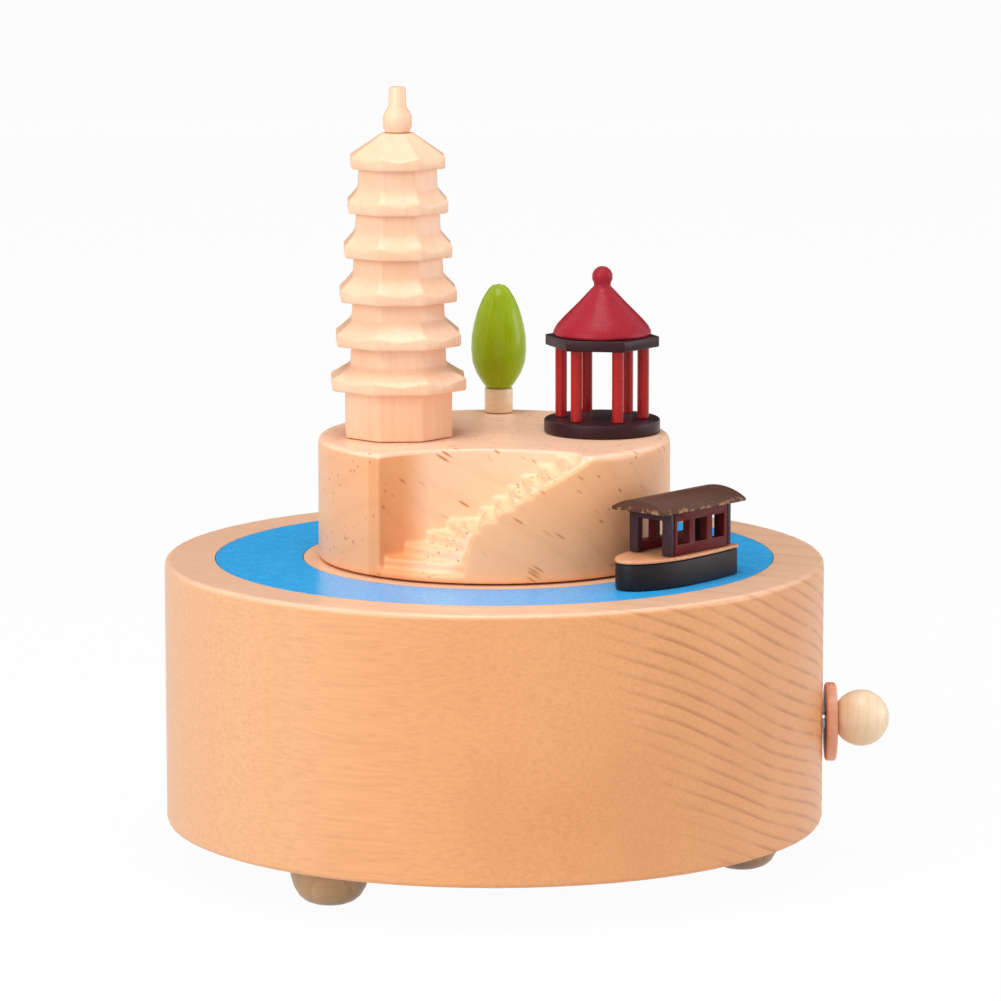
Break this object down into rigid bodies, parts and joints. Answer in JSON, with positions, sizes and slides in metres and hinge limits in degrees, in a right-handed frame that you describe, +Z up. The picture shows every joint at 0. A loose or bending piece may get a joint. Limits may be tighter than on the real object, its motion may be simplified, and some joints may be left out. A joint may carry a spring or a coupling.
{
  "type": "music box",
  "caption": "Round wooden music box with a stepped island of pagoda, tree and pavilion, a magnet-carried boat on a painted water ring and a side winding knob.",
  "frame": {"origin": "centre of the round base, on the underside of the bottom cover; the feet reach below it", "axes": "+Z up through the island and its pagoda, +X out through the winding knob, -Y towards the stairs, so +Y is the back where the tree stands"},
  "size_m": [0.1211, 0.11, 0.13],
  "materials": {
    "base_wood": "oiled beech, satin",
    "water_paint": "blue satin paint on wood",
    "cover_board": "birch plywood, sanded",
    "foot_wood": "maple, satin",
    "screw_steel": "bright steel",
    "movement_brass": "plain brass",
    "cylinder_brass": "fine-turned brass",
    "arbor_steel": "polished steel",
    "rotor_steel": "zinc plated steel",
    "comb_steel": "hardened steel, ground",
    "spring_steel": "blued spring steel",
    "magnet_nickel": "nickel plating",
    "fan_nylon": "white nylon",
    "knob_disc_wood": "reddish pear wood, satin",
    "knob_ball_wood": "maple, satin",
    "island_wood": "beech with ray flecks, satin",
    "pagoda_wood": "pale maple, satin",
    "spire_wood": "pale maple, satin",
    "trunk_wood": "maple, satin",
    "tree_paint": "green gloss lacquer on wood",
    "pavilion_dark": "dark purple lacquer on wood",
    "column_red": "red gloss lacquer on wood",
    "roof_red": "red gloss lacquer on wood",
    "hull_black": "black satin lacquer on wood",
    "boat_deck_wood": "oiled wood",
    "cabin_red": "maroon satin lacquer on wood",
    "frame_purple": "grey purple lacquer on wood",
    "boat_roof_brown": "brown lacquer with worn edges"
  },
  "bodies": {
    "case": {"base_shell": "base_wood", "water_ring": "water_paint", "bottom_cover": "cover_board", "cover_screw_1": "screw_steel", "cover_screw_2": "screw_steel", "cover_screw_3": "screw_steel", "foot_1": "foot_wood", "foot_2": "foot_wood", "foot_3": "foot_wood", "wall_bush": "movement_brass", "bedplate": "movement_brass", "movement_screw_1": "screw_steel", "movement_screw_2": "screw_steel", "movement_screw_3": "screw_steel", "comb": "comb_steel", "comb_screw_1": "screw_steel", "comb_screw_2": "screw_steel", "governor_bracket": "movement_brass", "island": "island_wood", "pagoda": "pagoda_wood", "pagoda_spire": "spire_wood", "tree_trunk": "trunk_wood", "tree_crown": "tree_paint", "pavilion_floor": "pavilion_dark", "pavilion_column_1": "column_red", "pavilion_column_2": "column_red", "pavilion_column_3": "column_red", "pavilion_column_4": "column_red", "pavilion_column_5": "column_red", "pavilion_column_6": "column_red", "pavilion_eave": "pavilion_dark", "pavilion_roof": "roof_red"},
    "winder": {"winding_shaft": "arbor_steel", "winding_pinion": "movement_brass", "winding_disc": "knob_disc_wood", "winding_ball": "knob_ball_wood"},
    "arbor": {"winding_arbor": "arbor_steel", "crown_wheel": "movement_brass"},
    "barrel": {"spring_barrel": "movement_brass", "barrel_lid": "movement_brass", "mainspring": "spring_steel", "rotor_arm": "rotor_steel", "rotor_clip": "arbor_steel", "rotor_magnet": "magnet_nickel"},
    "cylinder": {"pinned_cylinder": "cylinder_brass", "cylinder_arbor": "arbor_steel", "cylinder_pinion": "movement_brass", "cylinder_gear": "movement_brass"},
    "intermediate": {"intermediate_wheel": "movement_brass"},
    "fan": {"governor_fan": "fan_nylon"},
    "boat": {"boat_hull": "hull_black", "boat_magnet": "magnet_nickel", "boat_deck": "boat_deck_wood", "boat_cabin": "cabin_red", "boat_front_frame": "frame_purple", "boat_rear_frame": "frame_purple", "boat_roof": "boat_roof_brown"}
  },
  "joints": [
    {"name": "winder_spin", "type": "hinge", "parent": "case", "child": "winder", "pos_m": [0, 0, 0.0158], "axis": [1, 0, 0], "continuous": true},
    {"name": "arbor_spin", "type": "hinge", "parent": "case", "child": "arbor", "pos_m": [0, 0, 0.0158], "axis": [0, 0, 1], "continuous": true},
    {"name": "barrel_spin", "type": "hinge", "parent": "case", "child": "barrel", "pos_m": [0, 0, 0.0158], "axis": [0, 0, 1], "continuous": true},
    {"name": "cylinder_spin", "type": "hinge", "parent": "case", "child": "cylinder", "pos_m": [0, 0, 0.0158], "axis": [1, 0, 0], "continuous": true},
    {"name": "intermediate_spin", "type": "hinge", "parent": "case", "child": "intermediate", "pos_m": [0, -0.009, 0.0158], "axis": [1, 0, 0], "continuous": true},
    {"name": "fan_spin", "type": "hinge", "parent": "case", "child": "fan", "pos_m": [0, -0.0135, 0.02359], "axis": [1, 0, 0], "continuous": true},
    {"name": "boat_spin", "type": "hinge", "parent": "case", "child": "boat", "pos_m": [0, 0, 0.04415], "axis": [0, 0, 1], "continuous": true}
  ],
  "couplings": [
    {"joint": "winder_spin", "follows": "arbor_spin", "ratio": 3.5},
    {"joint": "cylinder_spin", "follows": "barrel_spin", "ratio": 4},
    {"joint": "intermediate_spin", "follows": "barrel_spin", "ratio": -12},
    {"joint": "fan_spin", "follows": "barrel_spin", "ratio": 36},
    {"joint": "boat_spin", "follows": "barrel_spin", "ratio": 1}
  ]
}
